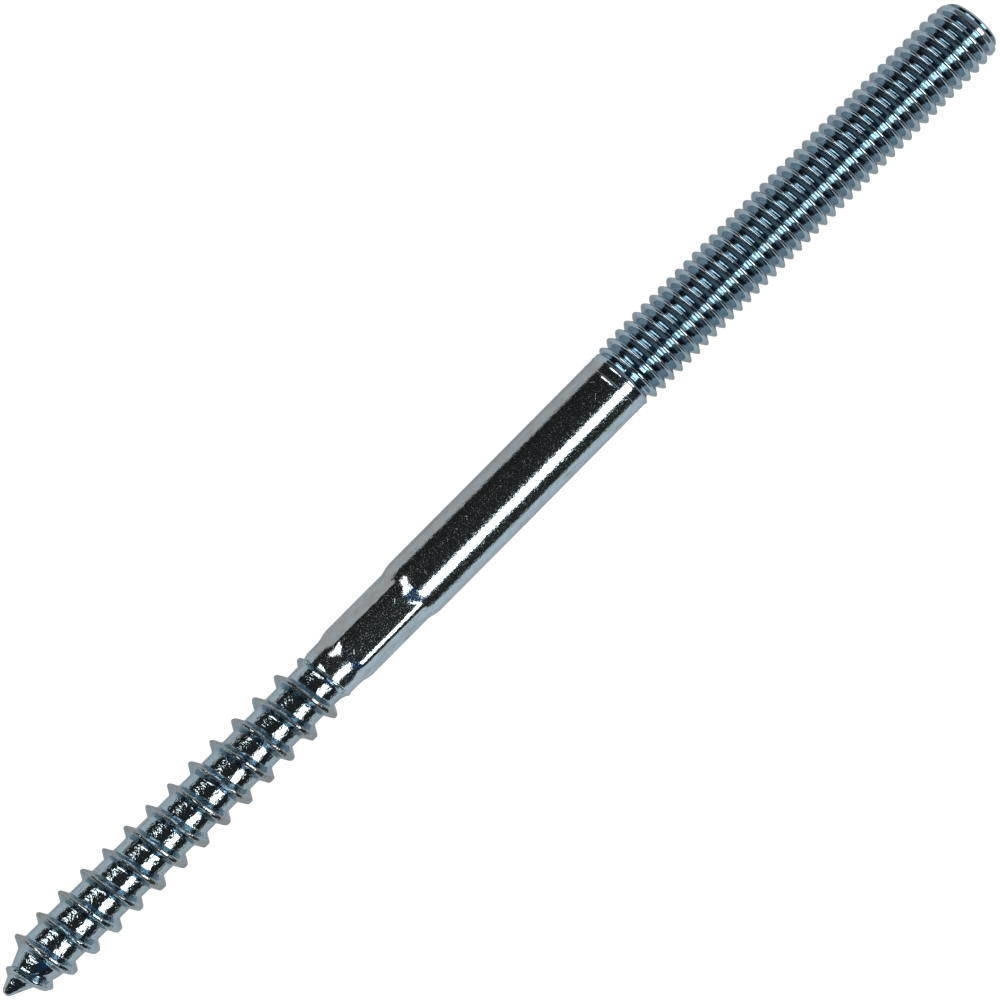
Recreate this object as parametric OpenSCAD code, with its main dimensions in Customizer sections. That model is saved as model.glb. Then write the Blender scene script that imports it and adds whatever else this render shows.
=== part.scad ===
// Hanger bolt: one steel rod with a coarse wood screw and gimlet point at one end, a machine thread
// at the other, and a plain shank with six rolled spanner flats between them. Millimetres.
// It lies along X as it comes to rest on a floor: point towards -X, machine end towards +X.
// The origin is under the middle of its length, on the floor.

/* [Overall] */
// From the blunt point to the flat end of the machine thread
overall_length = 139.4; // [120:0.1:200]

/* [Wood screw] */
// From the point to the plain neck, into which the wood thread has died away
wood_length = 46; // [30:0.1:60]
// Advance of the wood thread in one turn
wood_pitch = 3.02; // [2.4:0.01:3.8]
// Core of the wood screw
wood_root_diameter = 5.3; // [4.6:0.05:5.8]
// Over the thread crests at the point
wood_crest_diameter_point = 7.0; // [6.4:0.05:7.6]
// Over the thread crests at the neck
wood_crest_diameter_neck = 7.3; // [6.6:0.05:7.8]
// Flat width of the thread crest
wood_crest_width = 0.36; // [0.2:0.01:0.6]
// Slope of each thread flank from square to the axis, degrees
wood_flank_angle = 30; // [20:1:36]
// Length of the tapered point
point_length = 4.6; // [3.5:0.1:9]
// Blunt end of the point
tip_diameter = 0.8; // [0.4:0.05:1.4]

/* [Neck and spanner flats] */
// Plain neck between the wood thread and the flats
neck_diameter = 5.95; // [5.5:0.05:6.4]
// Length of the plain neck
neck_length = 0.8; // [0.5:0.1:3]
// Across two opposite flats
across_flats = 6.0; // [5.95:0.01:6.3]
// Radius of the rounded corners between the flats
corner_rounding = 0.95; // [0.5:0.05:1.2]
// Length of the flats, from the neck to the cone of the shank
flats_length = 8.8; // [6:0.1:14]

/* [Shank] */
// Plain rolled shank
shank_diameter = 7.0; // [6.9:0.05:7.3]
// Length of the cone by which the shank runs down to the flats
shank_cone_length = 1.9; // [1:0.1:4]

/* [Machine thread] */
// Length of the machine thread, with its run-out
thread_length = 53; // [30:0.5:70]
// Advance of the machine thread in one turn
thread_pitch = 1.25; // [1:0.05:1.5]
// Over the thread crests
thread_crest_diameter = 7.78; // [7.6:0.01:8]
// At the thread roots
thread_root_diameter = 6.46; // [6.3:0.01:6.7]
// Width of the rolled crest
thread_crest_width = 0.36; // [0.2:0.01:0.45]
// Width of the root between two flanks
thread_root_width = 0.14; // [0.1:0.01:0.2]
// Flat end face
end_face_diameter = 6.0; // [5:0.05:6.3]
// Length of the bevel at the end face
end_bevel_length = 1.1; // [0.5:0.1:2]

/* [Hidden] */
$fn = 96;

// Steps in one turn of each helix
wood_steps = 22;
thread_steps = 22;

// Each threaded solid ends in a flat ring, sunk a little way into the plain round that it joins
join_step = 0.04;
join_depth = 0.2;

// Length over which the corners rise out of the neck, and steps round each corner
corner_rise = 2.2;
corner_steps = 5;

// Stations along the bolt, counted from the point
neck_end = wood_length + neck_length;
flats_end = neck_end + flats_length;
thread_start = overall_length - thread_length;

// The rod lies on its largest thread, on the straight side between two of its steps
lift = thread_crest_diameter / 2 * cos(180 / thread_steps);

// 0 below the first value, 1 above the second, smooth between them
function ease(low, high, x) =
    let (t = min(1, max(0, (x - low) / (high - low)))) t * t * (3 - 2 * t);

// 0 below the first value, rising quickly and then levelling off to 1 at the second
function swell(low, high, x) = sin(90 * min(1, max(0, (x - low) / (high - low))));

// The smaller of two radii, with a rounded corner where they meet
function soft_min(a, b) = pow(pow(a, -8) + pow(b, -8), -1 / 8);

// ---- Wood screw ----

wood_root = wood_root_diameter / 2;
wood_join = neck_diameter / 2 - join_step;
tip_radius = tip_diameter / 2;
point_slope = (wood_root - tip_radius) / point_length;

// Where the crest starts to rise on the point, and how far before the neck its fall starts and ends
wood_crest_start = 0.6;
wood_fall_start = 3.6;
wood_fall_end = 0.4;
// The core rises to the neck over the same stretch, but faster
core_rise_start = 2.7;
core_rise_end = 1.4;

// Section of the thread: two flanks and a narrow crest
wood_flank = (wood_crest_diameter_neck / 2 - wood_root) * tan(wood_flank_angle);
wood_base = wood_crest_width + 2 * wood_flank;
wood_section = [[0, false], [wood_flank, true], [wood_flank + wood_crest_width, true], [wood_base, false]];

// First row, its turn about the axis, and the number of rows that fit before the neck
wood_first = 0.35;
wood_first_turn = -90;
wood_rows = floor((wood_length - 0.1 - wood_base - wood_first) / wood_pitch * wood_steps);

// Core radius: the point swells into the core, and the core rises to the neck at the far end
function wood_core(x) =
    let (rise = ease(wood_length - core_rise_start, wood_length - core_rise_end, x))
    soft_min(tip_radius + point_slope * x, wood_root) * (1 - rise) + wood_join * rise;

// Crest radius: it rises out of the point, grows slightly on the way, and sinks into the neck
function wood_crest(x) =
    let (full = (wood_crest_diameter_point
                 + (wood_crest_diameter_neck - wood_crest_diameter_point) * x / wood_length) / 2,
         grow = swell(wood_crest_start, point_length, x),
         fall = ease(wood_length - wood_fall_start, wood_length - wood_fall_end, x))
    wood_core(x) + max(0, full - wood_core(x)) * grow * (1 - fall);

function wood_radius(x, on_crest) = on_crest ? wood_crest(x) : wood_core(x);

// ---- Machine thread ----

thread_root = thread_root_diameter / 2;
thread_crest = thread_crest_diameter / 2;
thread_join = shank_diameter / 2 - join_step;
end_radius = end_face_diameter / 2;

// The groove runs in between the first two of these distances from the shank
groove_start = 0.8;
groove_full = 1.3;
// The crest rises above the shank between these two
crest_rise_start = 0.6;
crest_rise_end = 3.2;
// The end bevel meets the thread this far below its crest
bevel_drop = 0.18;

// Section of the thread: two flanks and a rolled crest, with a narrow root left between turns
thread_flank = (thread_pitch - thread_crest_width - thread_root_width) / 2;
thread_base = thread_crest_width + 2 * thread_flank;
thread_section =
    [[0, false], [thread_flank, true], [thread_flank + thread_crest_width, true], [thread_base, false]];

// First row, its turn about the axis, and the number of rows that fit before the end face
thread_first_turn = -90 - 8.5 * 360 / thread_steps;
thread_first = thread_start + 0.1 + thread_pitch * (234 + thread_first_turn) / 360;
thread_rows = floor((overall_length - 0.06 - thread_base - thread_first) / thread_pitch * thread_steps);

// The bevel at the end holds both radii in
function end_bevel(x) =
    end_radius + (overall_length - x) * (thread_crest - bevel_drop - end_radius) / end_bevel_length;

// Root radius: the rolled groove runs in from the shank within half a turn
function thread_valley(x) =
    let (run_in = ease(thread_start + groove_start, thread_start + groove_full, x))
    min(thread_join + (thread_root - thread_join) * run_in, end_bevel(x));

// Crest radius: the metal of the groove rises above the shank over two turns
function thread_top(x) =
    let (rise = swell(thread_start + crest_rise_start, thread_start + crest_rise_end, x))
    min(thread_join + (thread_crest - thread_join) * rise, end_bevel(x));

function thread_radius(x, on_crest) = on_crest ? thread_top(x) : thread_valley(x);

// ---- A solid round a helical row of four points, closed by a flat ring at each end ----

// A point at radius r, turned about the axis from +Y towards +Z, as a right-hand thread advances
function on_turn(x, r, turn) = [x, r * cos(turn), r * sin(turn)];

function ring(x, r, turn, steps) = [for (k = [0 : steps - 1]) on_turn(x, r, turn + 360 * k / steps)];

module helical_solid(rows, steps, start_ring, end_ring) {
    last = len(rows) - 1;
    points = concat([for (row = rows) each row], start_ring, end_ring);
    s = len(rows) * 4;
    e = s + steps;
    back = last - steps;
    // Two triangles for a cell with corners a, b, c, d in turn
    function cell(a, b, c, d) = [[a, b, c], [a, c, d]];
    // The two feet, the flanks and the crest of every row
    across = [for (i = [0 : last - 1], j = [0 : 2])
        each cell(4 * i + j, 4 * i + j + 1, 4 * i + j + 5, 4 * i + j + 4)];
    // The root strip between one turn and the next
    roots = [for (i = [0 : back - 1])
        each cell(4 * i + 3, 4 * (i + steps), 4 * (i + steps + 1), 4 * (i + 1) + 3)];
    // From the flat ring to the first turn
    opening = [for (k = [0 : steps - 2])
        each cell(s + k, 4 * k, 4 * (k + 1), s + k + 1)];
    opening_edge = [s, 0, 1, 2, 3, 4 * steps];
    opening_seam = concat([[s + steps - 1, 4 * (steps - 1), s]],
        [for (m = [0 : 4]) [4 * (steps - 1), opening_edge[m + 1], opening_edge[m]]]);
    // From the last turn to the other ring
    closing = [for (k = [1 : steps - 1])
        each cell(4 * (back + k) + 3, e + k, e + (k + 1) % steps, 4 * (back + k + 1) + 3)];
    closing_edge = [4 * back + 3, 4 * last, 4 * last + 1, 4 * last + 2, 4 * last + 3, e, e + 1];
    closing_seam = [for (m = [0 : 5]) [4 * (back + 1) + 3, closing_edge[m], closing_edge[m + 1]]];
    caps = [[for (k = [0 : steps - 1]) s + k], [for (k = [steps - 1 : -1 : 0]) e + k]];
    polyhedron(points, concat(across, roots, opening, opening_seam, closing, closing_seam, caps),
               convexity = 10);
}

// ---- The sub-parts ----

module wood_screw() {
    rows = [for (i = [0 : wood_rows])
        let (turn = wood_first_turn + 360 * i / wood_steps,
             x0 = wood_first + wood_pitch * i / wood_steps)
        [for (p = wood_section) on_turn(x0 + p[0], wood_radius(x0 + p[0], p[1]), turn)]];
    last_turn = wood_first_turn + 360 * wood_rows / wood_steps;
    helical_solid(rows, wood_steps,
        ring(0, tip_radius, wood_first_turn, wood_steps),
        ring(wood_length + join_depth, wood_join, last_turn, wood_steps));
}

module machine_thread() {
    rows = [for (i = [0 : thread_rows])
        let (turn = thread_first_turn + 360 * i / thread_steps,
             x0 = thread_first + thread_pitch * i / thread_steps)
        [for (p = thread_section) on_turn(x0 + p[0], thread_radius(x0 + p[0], p[1]), turn)]];
    last_turn = thread_first_turn + 360 * thread_rows / thread_steps;
    helical_solid(rows, thread_steps,
        ring(thread_start - join_depth, thread_join, thread_first_turn, thread_steps),
        ring(overall_length, end_radius, last_turn, thread_steps));
}

// Neck, and the cone from it up to the shank as far as the machine thread
module round_body() {
    rotate([0, 90, 0])
        rotate_extrude()
            polygon([[0, wood_length], [neck_diameter / 2, wood_length],
                     [neck_diameter / 2, flats_end], [shank_diameter / 2, flats_end + shank_cone_length],
                     [shank_diameter / 2, thread_start], [0, thread_start]]);
}

// Six flats with rounded corners, rolled out of the rod, that rise from the neck and end inside the cone
module spanner_flats() {
    corner_centre = (across_flats / 2 - corner_rounding) / cos(30);
    corner_radius = corner_centre + corner_rounding;
    last = flats_end + 0.85 * shank_cone_length;
    rotate([0, 90, 0])
        intersection() {
            translate([0, 0, neck_end])
                linear_extrude(last - neck_end)
                    polygon([for (c = [0 : 5], k = [0 : corner_steps])
                        let (corner = 60 * c + 30, a = corner - 30 + 60 * k / corner_steps)
                        [corner_centre * cos(corner) + corner_rounding * cos(a),
                         corner_centre * sin(corner) + corner_rounding * sin(a)]]);
            rotate_extrude()
                polygon([[0, neck_end], [neck_diameter / 2 - join_step, neck_end],
                         [corner_radius + join_step, neck_end + corner_rise],
                         [corner_radius + join_step, last + 1], [0, last + 1]]);
        }
}

module shank() {
    union() {
        round_body();
        spanner_flats();
    }
}

module hanger_bolt() {
    color("silver")
        translate([-overall_length / 2, 0, lift])
            union() {
                wood_screw();
                shank();
                machine_thread();
            }
}

hanger_bolt();
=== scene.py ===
# Zinc plated hanger bolt lying on a pale floor. The bolt runs along X, its point towards -X.
import math

import bmesh
import bpy
import numpy as np
from mathutils import Matrix, Vector


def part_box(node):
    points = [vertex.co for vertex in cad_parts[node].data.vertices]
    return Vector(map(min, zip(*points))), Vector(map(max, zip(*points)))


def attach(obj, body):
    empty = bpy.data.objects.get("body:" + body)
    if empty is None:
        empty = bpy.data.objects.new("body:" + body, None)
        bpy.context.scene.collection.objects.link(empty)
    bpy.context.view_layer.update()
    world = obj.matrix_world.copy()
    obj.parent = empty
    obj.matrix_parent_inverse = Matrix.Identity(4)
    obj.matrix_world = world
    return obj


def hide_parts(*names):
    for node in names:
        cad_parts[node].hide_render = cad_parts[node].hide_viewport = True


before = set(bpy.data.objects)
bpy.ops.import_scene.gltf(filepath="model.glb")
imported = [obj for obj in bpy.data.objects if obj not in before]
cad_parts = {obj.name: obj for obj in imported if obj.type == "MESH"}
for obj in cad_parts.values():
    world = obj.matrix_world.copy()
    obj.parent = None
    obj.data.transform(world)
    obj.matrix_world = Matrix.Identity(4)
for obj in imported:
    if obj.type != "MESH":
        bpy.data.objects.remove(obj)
scene = bpy.context.scene


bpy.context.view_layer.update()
boltLow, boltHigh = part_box("hanger_bolt")
boltLength = (boltHigh[0] - boltLow[0]) * 1000        # mm
axisHeight = (boltHigh[2] + boltLow[2]) / 2 * 1000    # mm above the floor
print("frame loaded, bolt length", round(boltLength, 2), "mm")


# Camera: almost straight above, 400 mm off, with the machine end leaning a little away from it
view = {
    "aimAlong": 2.77,          # mm along X, a point on the bolt's axis
    "distance": 400.0,         # mm from that point
    "leanAway": 6.3,           # degrees by which the machine end leans away
    "turnAboutBolt": 4.2,      # degrees by which it looks on from the +Y side
    "upRight": 45.18,          # degrees that the bolt climbs in the picture
    "slideAlong": 2.747,       # mm between the picture's middle and the aim, along the bolt
    "lens": 142.5, "sensorWidth": 36.0,
    "near": 0.01, "far": 20,   # metres
}


def makeCamera():
    # axes of the camera from the bolt's direction: back = away from the scene, along = the bolt as seen
    lean, turn = math.radians(view["leanAway"]), math.radians(view["turnAboutBolt"])
    bolt = Vector((1, 0, 0))
    back = Vector((-math.sin(lean), math.cos(lean) * math.sin(turn), math.cos(lean) * math.cos(turn)))
    along = (bolt - back * bolt.dot(back)).normalized()
    across = back.cross(along)
    climb = math.radians(view["upRight"])
    right = along * math.cos(climb) - across * math.sin(climb)
    up = along * math.sin(climb) + across * math.cos(climb)
    aim = Vector((view["aimAlong"], 0, axisHeight))
    place = aim + back * view["distance"] - along * view["slideAlong"]
    data = bpy.data.cameras.new("camera")
    data.lens, data.sensor_width = view["lens"], view["sensorWidth"]
    data.clip_start, data.clip_end = view["near"], view["far"]
    camera = bpy.data.objects.new("camera", data)
    scene.collection.objects.link(camera)
    turned = Matrix((right, up, back)).transposed()
    camera.matrix_world = Matrix.Translation(place / 1000) @ turned.to_4x4()
    scene.camera = camera


makeCamera()
print("camera placed")


# The bolt is one skin, wound round the axis like its own thread. Lengths are in mm, x from the point on;
# a turn counts from the +Y side over the top to the -Y side.
woodScrew = {
    "pitch": 3.02, "flankAngle": 28.5,
    "crestAt": 1.8625,                          # x of a crest's middle on the +Y side
    "rootRadius": 2.64, "end": 46.0,
    "crestAtPoint": 3.51, "crestAtNeck": 3.68,  # radius of the crest at each end
    "crestWidth": 0.24, "widerBelow": 0.34,     # flat of the crest, and what it gains on the -Y side
    "crestRounding": 0.20, "rootRounding": 0.11,
    "pointLength": 4.9, "pointRounding": 0.35,
    "noseRadius": 0.42, "noseLength": 0.28, "noseBlunting": 0.55,
    "growFrom": 0.65, "growLength": 4.2, "growRounding": 0.12,    # the thread rises out of the point
    "buried": 0.2,                              # a thread of no height lies this far under the core
    "fadeBefore": 4.0, "fadeAfter": 1.05,       # it sinks into the neck, about the end
    "neckFrom": 2.1, "neckFull": 0.9,           # the core swells to the neck, before the end
    "uneven": 0.030, "unevenMiddle": 0.3,       # how far the rolled crest wanders, and about what
    "widthWander": 0.3, "sideWander": 0.7,
    "squeezeFrom": 44.0, "squeeze": 0.47,       # the last half turn is squeezed towards the neck
    "columnsAt": [-1.51, -1.05, -0.82, -0.70, -0.56, -0.38, -0.26, -0.15],    # before the crest
}
neckAndFlats = {
    "neckRadius": 2.94, "acrossFlats": 6.1, "cornerRounding": 0.90,
    "cornerCap": 3.38, "capRounding": 0.05,     # no corner stands higher than this
    "sideCornerLoss": 0.145, "sideFrom": 0.75,  # corners at the two sides are lower
    "riseStart": 46.3, "riseEnd": 48.0, "coneStart": 55.1, "coneEnd": 57.0,
    "riseLate": 0.25, "coneLate": 0.30,         # both sit this much further on at the -Y side
    "coneInset": 0.02, "coneRounding": 0.12, "creaseRounding": 0.03,
    "bodyInset": 0.25, "neckReach": 1.5,        # the round body under the flats, and the neck under them
}
machineThread = {
    "start": 86.4, "pitch": 1.25, "crestAt": 87.8675, "flankAngle": 29.3,
    "rootRadius": 3.05, "crestRadius": 3.87, "crestRounding": 0.18, "rootRounding": 0.2,
    "grooveStart": 0.8, "grooveFull": 1.3,      # from the thread's start on
    "crestRiseStart": 0.5, "crestRiseEnd": 3.0,
    "endRadius": 3.01, "bevelRounding": 0.08,   # the end bevel opens from here at 45 degrees
    "shoulderRadius": 3.49, "shoulderSlope": 0.14, "shoulderRounding": 0.1,
    "endTilt": 0.2,                             # the sheared end is up to twice this shorter at the +Y side
    "columnsAt": [-0.625, -0.55, -0.48, -0.39, -0.29, -0.19, -0.12, -0.06],
}
skin = {
    "stepsPerTurn": 78, "shankRadius": 3.49, "turnsBetween": 18.6,
    "turnsBefore": 2, "turnsAfter": 1.2,            # wound past both ends and cut to length there
    "pointBend": 0.29, "pointBendLength": 27.0,     # the rolled point strays towards +Y
    "bow": 0.085, "bowFrom": 20.0, "bowTo": 112.0,  # the middle strays towards -Y
    "mergeWithin": 2e-6, "dropBelow": 1e-6,         # metres
    "sharpAngle": 38,                               # degrees, from which an edge is drawn sharp
}


def ease(low, high, x):
    # 0 below low, 1 above high, and t*t*(3 - 2t) between them
    t = np.clip((x - low) / (high - low), 0, 1)
    return t * t * (3 - 2 * t)


def swell(low, high, x):
    # quarter sine: rises quickly after low and levels off at high
    return np.sin(np.pi / 2 * np.clip((x - low) / (high - low), 0, 1))


def softMax(a, b, reach):
    # the larger of two, with a parabola of the given reach where they meet
    blend = np.maximum(reach - np.abs(a - b), 0) / reach
    return np.maximum(a, b) + blend * blend * reach / 4


def softMin(a, b, reach):
    return -softMax(-a, -b, reach)


def fromCrest(x, turn, crestAt, pitch):
    # distance along the axis to the nearest crest: the crest moves on by one pitch in each turn
    phase = (x - crestAt) / pitch - turn
    return (phase - np.round(phase)) * pitch


def ridge(distance, crest, crestWidth, flankAngle, rounding):
    # flat crest with straight flanks on both sides and rounded shoulders
    flank = crest + (crestWidth / 2 - np.abs(distance)) / math.tan(math.radians(flankAngle))
    return softMin(flank, crest, rounding)


def wander(turn):
    # three waves of unlike length along the thread, between -2 and 2
    return np.sin(10.7 * turn + 0.4) + 0.6 * np.sin(27.0 * turn + 1.3) + 0.4 * np.sin(57.2 * turn + 2.1)


def woodRadius(x, turn):
    # the core is a cone from the nose up to the root radius, with a round nose, and swells to the neck;
    # the thread is a ridge on it whose height grows from the point on and fades towards the neck
    s = woodScrew
    slope = (s["rootRadius"] - s["noseRadius"]) / s["pointLength"]
    core = softMin(s["noseRadius"] + slope * x, s["rootRadius"], s["pointRounding"])
    rise = ease(s["end"] - s["neckFrom"], s["end"] - s["neckFull"], x)
    core = core * (1 - rise) + neckAndFlats["neckRadius"] * rise
    nose = np.clip(1 - x / s["noseLength"], 0, 1)
    core = core - s["noseRadius"] * s["noseBlunting"] * (1 - np.sqrt(np.maximum(1 - nose * nose, 0)))
    full = s["crestAtPoint"] + (s["crestAtNeck"] - s["crestAtPoint"]) * x / s["end"]
    grow = softMin((x - s["growFrom"]) / s["growLength"], 1, s["growRounding"])
    grow = np.maximum(grow, 0) * (1 - ease(s["end"] - s["fadeBefore"], s["end"] + s["fadeAfter"], x))
    squeezed = x + s["squeeze"] * np.maximum(x - s["squeezeFrom"], 0)
    distance = fromCrest(squeezed, turn, s["crestAt"], s["pitch"])
    wound = (x - distance - s["crestAt"]) / s["pitch"]
    height = full - core + s["buried"] + s["uneven"] * (wander(wound) - s["unevenMiddle"])
    crest = core - s["buried"] + height * grow
    # the crest is rolled wider on the -Y side; its width and its place wander at strides of their own
    wider = s["widerBelow"] * ease(0, 1, -np.cos(2 * np.pi * turn))
    width = s["crestWidth"] * (1 + s["widthWander"] * wander(wound * 0.83 + 5)) + wider
    drift = s["uneven"] * s["sideWander"] * wander(wound * 1.19 + 2)
    thread = ridge(distance - drift, crest, width, s["flankAngle"], s["crestRounding"])
    return softMax(core, thread, s["rootRounding"])


def flatsRadius(x, angle):
    # a hexagon with round corners: an arc about each corner's centre, straight flats between the arcs
    s = neckAndFlats
    neck, shank = s["neckRadius"], skin["shankRadius"]
    half, rounding = s["acrossFlats"] / 2, s["cornerRounding"]
    centre = (half - rounding) / math.cos(math.pi / 6)
    off = angle - np.round(angle / (np.pi / 3)) * (np.pi / 3)
    arcEnd = math.atan2(rounding * 0.5, centre + rounding * math.cos(math.pi / 6))
    arc = centre * np.cos(off) + np.sqrt(np.maximum(rounding ** 2 - (centre * np.sin(off)) ** 2, 0))
    flat = half / np.cos(np.pi / 6 - np.abs(off))
    hexagon = softMin(np.where(np.abs(off) < arcEnd, arc, flat), s["cornerCap"], s["capRounding"])
    full = hexagon - s["sideCornerLoss"] * ease(s["sideFrom"], 1, np.abs(np.cos(angle)))
    # both ends of the flats sit a little further on towards the shank on the -Y side
    late = 0.5 - 0.5 * np.cos(angle)
    raised = neck + (full - neck) * ease(s["riseStart"], s["riseEnd"], x - s["riseLate"] * late)
    # the round body: the neck, then a cone up to the shank that cuts a point into each flat
    climbed = x - s["coneLate"] * late - s["coneStart"]
    gain = shank - half + s["coneInset"]
    cone = half - s["coneInset"] + gain * climbed / (s["coneEnd"] - s["coneStart"])
    body = np.maximum(softMin(cone, shank, s["coneRounding"]), half - s["bodyInset"])
    body = np.where(x < s["riseStart"], neck, body)
    body = np.where(x < s["riseStart"] + s["neckReach"], np.maximum(body, neck), body)
    return softMax(raised, body, s["creaseRounding"])


def endCut(turn):
    # the end face leans a little: nothing is lost on the -Y side
    return machineThread["endTilt"] * (1 + np.cos(2 * np.pi * turn))


def machineRadius(x, turn):
    # the valley drops from the shank to the root and the crest rises above it, each over its own length
    s = machineThread
    start, shank = s["start"], skin["shankRadius"]
    runIn = ease(start + s["grooveStart"], start + s["grooveFull"], x)
    valley = shank + (s["rootRadius"] - shank) * runIn
    rise = swell(start + s["crestRiseStart"], start + s["crestRiseEnd"], x)
    top = shank + (s["crestRadius"] - shank) * rise
    distance = fromCrest(x, turn, s["crestAt"], s["pitch"])
    # a hyperbola: rounded crest that runs into straight flanks
    drop = np.sqrt(distance ** 2 + s["crestRounding"] ** 2) - s["crestRounding"]
    thread = softMax(valley, top - drop / math.tan(math.radians(s["flankAngle"])), s["rootRounding"])
    # the end bevel holds crest and root in
    left = np.maximum(boltLength - endCut(turn) - x, 0)
    shoulder = s["shoulderRadius"] + left * s["shoulderSlope"]
    bevel = softMin(s["endRadius"] + left, shoulder, s["shoulderRounding"])
    return softMin(thread, bevel, s["bevelRounding"])


def strayed(x):
    # how far the axis lies off towards +Y: a bent point and a slight bow
    s = skin
    middle = (s["bowFrom"] + s["bowTo"]) / 2
    bow = ease(s["bowFrom"], middle, x) * (1 - ease(middle, s["bowTo"], x))
    return s["pointBend"] * (1 - ease(0, s["pointBendLength"], x)) - s["bow"] * np.sqrt(bow)


def boltRadius(x, turn):
    # wood screw, then neck, flats and shank; from 1 mm before the machine thread on both are plain shank
    radius = np.where(x < neckAndFlats["riseStart"], woodRadius(x, turn), flatsRadius(x, 2 * np.pi * turn))
    return np.where(x > machineThread["start"] - 1, machineRadius(x, turn), radius)


def pitchColumns(thread):
    # fractions of one pitch from 0 to 1, crowded on the flanks: up to the crest, the crest, and mirrored
    half = np.array(thread["columnsAt"]) / thread["pitch"]
    return np.concatenate([half + 0.5, [0.5], 0.5 - half[:0:-1], [1]])


def windSkin():
    # a row for each step of the winding and a column for each fraction of the pitch. The turn, and so the
    # angle, is the same along a row; x = start of the row + pitch there * fraction
    n, wood, machine = skin["stepsPerTurn"], woodScrew, machineThread
    woodTurns = math.ceil((wood["end"] - wood["crestAt"]) / wood["pitch"]) + 0.5
    woodStart = wood["crestAt"] - wood["pitch"] / 2
    woodEnd = woodStart + woodTurns * wood["pitch"]
    between = skin["turnsBetween"]
    middlePitch = (wood["pitch"] + machine["pitch"]) / 2
    # the turns between are shifted so that the machine thread's crests meet the columns
    place = woodEnd + middlePitch * between - (woodTurns + between) * machine["pitch"]
    aim = machine["crestAt"] - machine["pitch"] / 2
    error = (aim - place) / machine["pitch"]
    between += (error - round(error)) * machine["pitch"] / (middlePitch - machine["pitch"])
    machineLength = boltLength - (woodEnd + middlePitch * between)
    firstTurn = -skin["turnsBefore"]
    lastTurn = woodTurns + between + machineLength / machine["pitch"] + skin["turnsAfter"]
    turn = firstTurn + np.arange(int((lastTurn - firstTurn) * n) + n + 1) / n

    def along(turn):
        # start of a row: the pitch eases from one thread's to the other's, and the integral of the
        # smooth step t*t*(3 - 2t) is t^3 - t^4/2
        t = np.clip((turn - woodTurns) / between, 0, 1)
        lost = (wood["pitch"] - machine["pitch"]) * (t ** 3 - t ** 4 / 2) * between
        after = np.maximum(turn - woodTurns - between, 0) * (wood["pitch"] - machine["pitch"])
        return woodStart + turn * wood["pitch"] - lost - after

    start = along(turn)
    step = along(turn + 1) - start
    mix = np.clip((turn - woodTurns) / between, 0, 1)[:, None]
    columns = pitchColumns(wood)[None, :-1] * (1 - mix) + pitchColumns(machine)[None, :-1] * mix
    turns = np.repeat(turn[:, None], columns.shape[1], axis=1)
    x = np.clip(start[:, None] + step[:, None] * columns, 0, boltLength - endCut(turns))
    radius = boltRadius(x, turns)
    angle = 2 * np.pi * turns
    points = np.stack([x - boltLength / 2, radius * np.cos(angle) + strayed(x),
                       radius * np.sin(angle) + axisHeight], -1)
    number = np.arange(x.size).reshape(x.shape)
    here, ahead = number[:-1], number[1:]
    cells = np.stack([here[:, :-1], here[:, 1:], ahead[:, 1:], ahead[:, :-1]], -1).reshape(-1, 4)
    # the last column of a row meets the first column of the row one turn on
    edge = np.stack([number[:-n - 1, -1], number[n:-1, 0], number[n + 1:, 0], number[1:-n, -1]], -1)
    return points.reshape(-1, 3) / 1000, np.concatenate([cells, edge])


def buildBolt():
    points, cells = windSkin()
    mesh = bpy.data.meshes.new("hanger_bolt_skin")
    mesh.from_pydata(points, [], cells)
    work = bmesh.new()
    work.from_mesh(mesh)
    bmesh.ops.remove_doubles(work, verts=work.verts, dist=skin["mergeWithin"])
    bmesh.ops.dissolve_degenerate(work, dist=skin["dropBelow"], edges=work.edges)
    # flat caps on the blunt point and on the end face
    rims = [edge for edge in work.edges if edge.is_boundary]
    bmesh.ops.holes_fill(work, edges=rims, sides=0)
    bmesh.ops.triangulate(work, faces=[face for face in work.faces if len(face.verts) > 4])
    bmesh.ops.recalc_face_normals(work, faces=work.faces)
    sharp = math.radians(skin["sharpAngle"])
    for face in work.faces:
        face.smooth = True
    for edge in work.edges:
        edge.smooth = len(edge.link_faces) == 2 and edge.calc_face_angle(0) < sharp
    print("skin:", len(work.verts), "points,", sum(len(face.verts) - 2 for face in work.faces), "triangles,",
          sum(1 for edge in work.edges if len(edge.link_faces) != 2), "open edges")
    work.to_mesh(mesh)
    work.free()
    bolt = bpy.data.objects.new("zinc_hanger_bolt", mesh)
    scene.collection.objects.link(bolt)
    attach(bolt, "root")
    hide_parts("hanger_bolt")
    return bolt


bolt = buildBolt()
print("bolt skin wound")


class Value:
    # wraps a number socket, so that sums and products of values add Math nodes
    def __init__(self, shop, socket):
        self.shop, self.socket = shop, socket

    def join(self, operation, first, second):
        return self.shop.node("ShaderNodeMath", {"operation": operation}, {0: first, 1: second}).value()

    def __add__(self, other): return self.join("ADD", self, other)
    def __radd__(self, other): return self.join("ADD", other, self)
    def __sub__(self, other): return self.join("SUBTRACT", self, other)
    def __rsub__(self, other): return self.join("SUBTRACT", other, self)
    def __mul__(self, other): return self.join("MULTIPLY", self, other)
    def __rmul__(self, other): return self.join("MULTIPLY", other, self)
    def __pow__(self, other): return self.join("POWER", self, other)
    def __rpow__(self, other): return self.join("POWER", other, self)


class Placed:
    # a node in its tree: out gives a socket, and value a number to reckon with
    def __init__(self, shop, node):
        self.shop, self.node = shop, node

    def out(self, name=0):
        return self.node.outputs[name]

    def value(self, name=0):
        return Value(self.shop, self.node.outputs[name])


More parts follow.
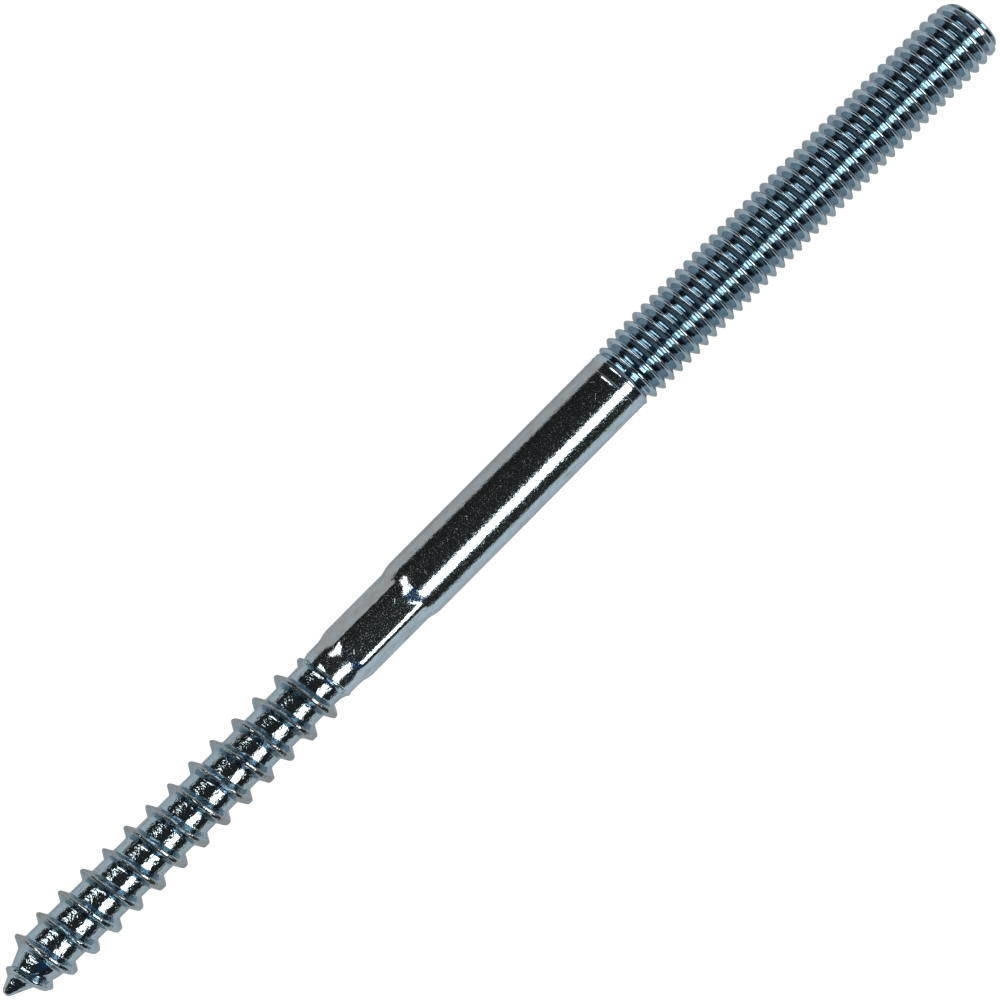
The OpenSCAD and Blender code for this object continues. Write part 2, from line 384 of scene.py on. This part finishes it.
class Shop:
    # the node tree of one material or world
    def __init__(self, owner):
        owner.use_nodes = True
        self.owner, self.tree = owner, owner.node_tree
        self.tree.nodes.clear()

    def node(self, kind, settings=None, inputs=None):
        made = self.tree.nodes.new(kind)
        for name, setting in (settings or {}).items():
            setattr(made, name, setting)
        for name, given in (inputs or {}).items():
            if isinstance(given, Value):
                given = given.socket
            if isinstance(given, bpy.types.NodeSocket):
                self.tree.links.new(given, made.inputs[name])
            else:
                made.inputs[name].default_value = given
        return Placed(self, made)

    def rise(self, value, low, high):
        # smooth step from 0 at low to 1 at high
        return self.node("ShaderNodeMapRange", {"interpolation_type": "SMOOTHSTEP"},
                         {"Value": value, "From Min": low, "From Max": high}).value()

    def noise(self, place, size, detail, roughness):
        return self.node("ShaderNodeTexNoise", {}, {
            "Vector": place, "Scale": 1 / size, "Detail": detail, "Roughness": roughness}).value("Fac")

    def mix(self, share, first, second):
        # sockets 6 and 7 are the Mix node's two colours
        return self.node("ShaderNodeMix", {"data_type": "RGBA"}, {0: share, 6: first, 7: second}).out(2)

    def stretch(self, place, factors):
        return self.node("ShaderNodeVectorMath", {"operation": "MULTIPLY"}, {0: place, 1: factors}).out()

    def scratches(self, forth, across, squash, edge):
        # noise drawn out forth and crowded across, of which only the highest ridges count
        slope = self.node("ShaderNodeCombineXYZ", {}, {"X": forth * squash[0], "Y": across * squash[1]})
        return self.rise(self.noise(slope.out(), 1.0, 1.0, 0.5), *edge)


zincFinish = {
    # shadeAndPatchGrey is painted shade on the +Y side of the plain body, and also the tone of random patches
    "blueGrey": (0.48, 0.63, 0.715, 1), "shadeAndPatchGrey": (0.375, 0.41, 0.43, 1),
    "threadGrey": (0.385, 0.515, 0.59, 1), "dullCrest": (0.30, 0.30, 0.28, 1),
    "stain": (0.27, 0.27, 0.24, 1), "edgeTint": (0.66, 0.68, 0.70, 1),
    # noises: size in mm, detail, roughness of the noise
    "patches": (1.3, 3.0, 0.6), "mottle": (0.40, 2.0, 0.62), "grain": (0.30, 2.0, 0.6),
    "streaks": (1.0, 3.0, 0.65), "specks": (0.13, 1.0, 0.6),
    "streakSquash": (0.5, 3.0, 3.0),            # streaks run along the bolt
    # scratches that cross each other: how each set is drawn out, and the noise from which it shows
    "oneWay": ((0.45, 5.0), (0.72, 0.77)), "otherWay": ((0.5, 6.0), (0.74, 0.79)),
    # noise between which each mark sets in
    "patchEdge": (0.45, 0.65), "streakEdge": (0.57, 0.66), "speckEdge": (0.56, 0.70),
    # mm from the end of the wood screw and from the start of the machine thread
    "woodFade": (-2.0, -0.4), "machineFade": (-0.2, 0.8),
    "paintedShadeFrom": (-0.4, 1.6), "paintedShadeSide": 0.8, "warmPatches": 0.3,   # mm towards +Y over which the painted shade sets in, its share, and the share of this grey in random patches
    "woodCrest": (3.36, 3.56), "machineCrest": (3.79, 3.88), "machineDull": 0.3,    # radii in mm
    # bump depths in mm
    "grainOnShank": 0.018, "grainOnThreads": 0.004, "scratchDepth": 0.006,
    "mottleOnWood": 0.056, "mottleOnMachine": 0.012,
    "roughness": 0.075, "patchRoughness": 0.04, "stainRoughness": 0.06, "crestRoughness": 0.08,
    "speckRoughness": 0.22,
}


def zincMaterial():
    shop = Shop(bpy.data.materials.new("zinc_steel_bright"))
    finish = zincFinish
    place = shop.node("ShaderNodeTexCoord").out("Object")
    spot = shop.node("ShaderNodeVectorMath", {"operation": "SCALE"}, {0: place, "Scale": 1000.0}).out()
    axes = shop.node("ShaderNodeSeparateXYZ", {}, {0: spot})
    along, aside, above = axes.value("X"), axes.value("Y"), axes.value("Z") - axisHeight
    outward = (aside * aside + above * above) ** 0.5
    woodEnd = woodScrew["end"] - boltLength / 2
    threadStart = machineThread["start"] - boltLength / 2
    onWood = 1 - shop.rise(along, woodEnd + finish["woodFade"][0], woodEnd + finish["woodFade"][1])
    onMachine = shop.rise(along, threadStart + finish["machineFade"][0], threadStart + finish["machineFade"][1])
    smooth = 1 - onWood - onMachine

    patches = shop.noise(spot, *finish["patches"])
    mottle = shop.noise(spot, *finish["mottle"])
    grain = shop.noise(spot, *finish["grain"])
    streaks = shop.noise(shop.stretch(spot, finish["streakSquash"]), *finish["streaks"])
    scratches = shop.scratches(along + aside, along - aside, *finish["oneWay"]) \
        + shop.scratches(along - aside, along + aside, *finish["otherWay"])
    specks = shop.rise(shop.noise(spot, *finish["specks"]), *finish["speckEdge"])

    # painted shade: the +Y side of the neck, flats and shank turns a darker, warmer grey; random patches take
    # the same grey
    shadedSideAndPatches = shop.rise(aside, *finish["paintedShadeFrom"]) * smooth * finish["paintedShadeSide"] \
        + finish["warmPatches"] * shop.rise(patches, *finish["patchEdge"])
    tint = shop.mix(shadedSideAndPatches, finish["blueGrey"], finish["shadeAndPatchGrey"])
    tint = shop.mix(onWood + onMachine, tint, finish["threadGrey"])
    # the folded crests of both threads are duller, the wood screw's more so
    crests = shop.rise(outward, *finish["machineCrest"]) * onMachine * finish["machineDull"] \
        + shop.rise(outward, *finish["woodCrest"]) * onWood
    tint = shop.mix(crests * (0.25 + 0.7 * patches), tint, finish["dullCrest"])
    # streaks and specks stain the metal, more on the wood screw
    stained = shop.rise(streaks, *finish["streakEdge"]) * (0.6 + 0.3 * onWood) + specks * (0.3 + 0.3 * onWood)
    colour = shop.mix(stained, tint, finish["stain"])

    roughness = finish["roughness"] + finish["patchRoughness"] * patches + finish["stainRoughness"] * stained \
        + finish["crestRoughness"] * crests + finish["speckRoughness"] * specks * smooth
    height = grain * (finish["grainOnShank"] * smooth + finish["grainOnThreads"]) \
        - finish["scratchDepth"] * scratches * smooth \
        + mottle * (finish["mottleOnWood"] * onWood + finish["mottleOnMachine"] * onMachine)
    bump = shop.node("ShaderNodeBump", {}, {"Strength": 1.0, "Distance": 0.001, "Height": height}).out()
    shader = shop.node("ShaderNodeBsdfPrincipled", {}, {
        "Base Color": colour, "Metallic": 1.0, "Roughness": roughness, "Normal": bump,
        "Specular Tint": finish["edgeTint"]}).out()
    shop.node("ShaderNodeOutputMaterial", {}, {"Surface": shader})
    return shop.owner


bolt.data.materials.append(zincMaterial())
print("zinc finish made")


# Floor, lamps and surroundings, in metres
studio = {
    "floorSize": 3.0, "floorColour": (0.30, 0.30, 0.30, 1),
    "floorGlow": 0.89, "floorGlowInMetal": 0.46,    # strengths for the camera and for reflections
    "lampDistance": 0.9,                            # from the bolt to each long lamp
    "lampColour": (1.0, 0.95, 0.91),
    # each lamp: edges in degrees from straight up towards -Y, ends along X, radiance
    "lamps": {
        "strip_lamp": (19.0, 44.5, -0.24, 0.70, 5.2),
        "back_lamp": (-58.0, -37.0, -0.20, -0.12, 4.8),
        "middle_lamp": (-53.0, -30.0, -0.33, -0.20, 4.5),
        "corner_lamp": (-53.0, -9.0, -0.85, -0.33, 4.5),
    },
    "ceiling": (0.024, 0.025, 0.024, 1), "blueCorner": (0.013, 0.046, 0.112, 1),
    "greyWall": (0.26, 0.28, 0.30, 1), "eyeLevel": (0.60, 0.60, 0.60, 1),
    # where each sets in, as parts of the direction from the bolt: none at the first, all at the second
    "blueFrom": (-0.20, -0.34), "blueTo": (-0.78, -0.55), "blueAbove": (0.42, 0.55),
    "wallFrom": (0.32, 0.6), "eyeLevelFrom": (0.04, -0.02),
}


def makeFloor(level):
    corners = np.array([[-1, -1], [1, -1], [1, 1], [-1, 1]]) * studio["floorSize"]
    points = np.concatenate([corners, np.full((4, 1), level)], 1)
    mesh = bpy.data.meshes.new("floor")
    mesh.from_pydata(points, [], [(0, 1, 2, 3)])
    floor = bpy.data.objects.new("floor", mesh)
    scene.collection.objects.link(floor)
    shop = Shop(bpy.data.materials.new("pale_floor"))
    path = shop.node("ShaderNodeLightPath")
    reflected = path.value("Is Glossy Ray") + path.value("Is Transmission Ray")
    seen = path.value("Is Camera Ray") + reflected
    glow = studio["floorGlow"] - (studio["floorGlow"] - studio["floorGlowInMetal"]) * reflected
    plain = shop.node("ShaderNodeBsdfDiffuse", {}, {"Color": studio["floorColour"]}).out()
    white = shop.node("ShaderNodeEmission", {}, {"Color": (1, 1, 1, 1), "Strength": glow}).out()
    both = shop.node("ShaderNodeAddShader", {}, {0: plain, 1: white}).out()
    surface = shop.node("ShaderNodeMixShader", {}, {0: seen, 1: plain, 2: both}).out()
    shop.node("ShaderNodeOutputMaterial", {}, {"Surface": surface})
    mesh.materials.append(shop.owner)


def longLamp(name, edges):
    # a flat lamp along X that fills the angles between its edges; its power is radiance times area times pi
    fromAngle, toAngle, start, end, radiance = edges
    middle, spread = math.radians((fromAngle + toAngle) / 2), math.radians((toAngle - fromAngle) / 2)
    far = studio["lampDistance"]
    data = bpy.data.lights.new(name, "AREA")
    data.shape, data.size, data.size_y = "RECTANGLE", end - start, 2 * far * math.tan(spread)
    data.energy = radiance * data.size * data.size_y * math.pi
    data.color = studio["lampColour"]
    lamp = bpy.data.objects.new(name, data)
    scene.collection.objects.link(lamp)
    back = Vector((0, -math.sin(middle), math.cos(middle)))
    side = Vector((1, 0, 0))
    place = back * far + Vector(((start + end) / 2, 0, axisHeight / 1000))
    turned = Matrix((side, back.cross(side), back)).transposed()
    lamp.matrix_world = Matrix.Translation(place) @ turned.to_4x4()


def makeWorld():
    # dark ceiling, a blue corner beyond the point, a grey wall beyond the other end, pale at eye level,
    # and white to the camera
    world = bpy.data.worlds.new("studio")
    scene.world = world
    shop = Shop(world)
    axes = shop.node("ShaderNodeSeparateXYZ", {}, {0: shop.node("ShaderNodeTexCoord").out("Generated")})
    along, above = axes.value("X"), axes.value("Z")
    blueShare = shop.rise(along, *studio["blueFrom"]) * shop.rise(along, *studio["blueTo"])
    blueShare = blueShare * shop.rise(above, *studio["blueAbove"])
    ceiling = shop.mix(blueShare, studio["ceiling"], studio["blueCorner"])
    ceiling = shop.mix(shop.rise(along, *studio["wallFrom"]), ceiling, studio["greyWall"])
    surroundings = shop.mix(shop.rise(above, *studio["eyeLevelFrom"]), ceiling, studio["eyeLevel"])
    camera = shop.node("ShaderNodeLightPath").out("Is Camera Ray")
    background = shop.node("ShaderNodeBackground", {}, {
        "Color": shop.mix(camera, surroundings, (1, 1, 1, 1)), "Strength": 1.0}).out()
    shop.node("ShaderNodeOutputWorld", {}, {"Surface": background})


# the skin reaches a hair lower than the solid, and the floor touches it
skinPlaces = np.empty(len(bolt.data.vertices) * 3, dtype=np.float32)
bolt.data.vertices.foreach_get("co", skinPlaces)
makeFloor(min(boltLow[2], float(skinPlaces[2::3].min())))
for name, edges in studio["lamps"].items():
    longLamp(name, edges)
makeWorld()
scene.view_settings.view_transform = "Standard"
print("studio ready")
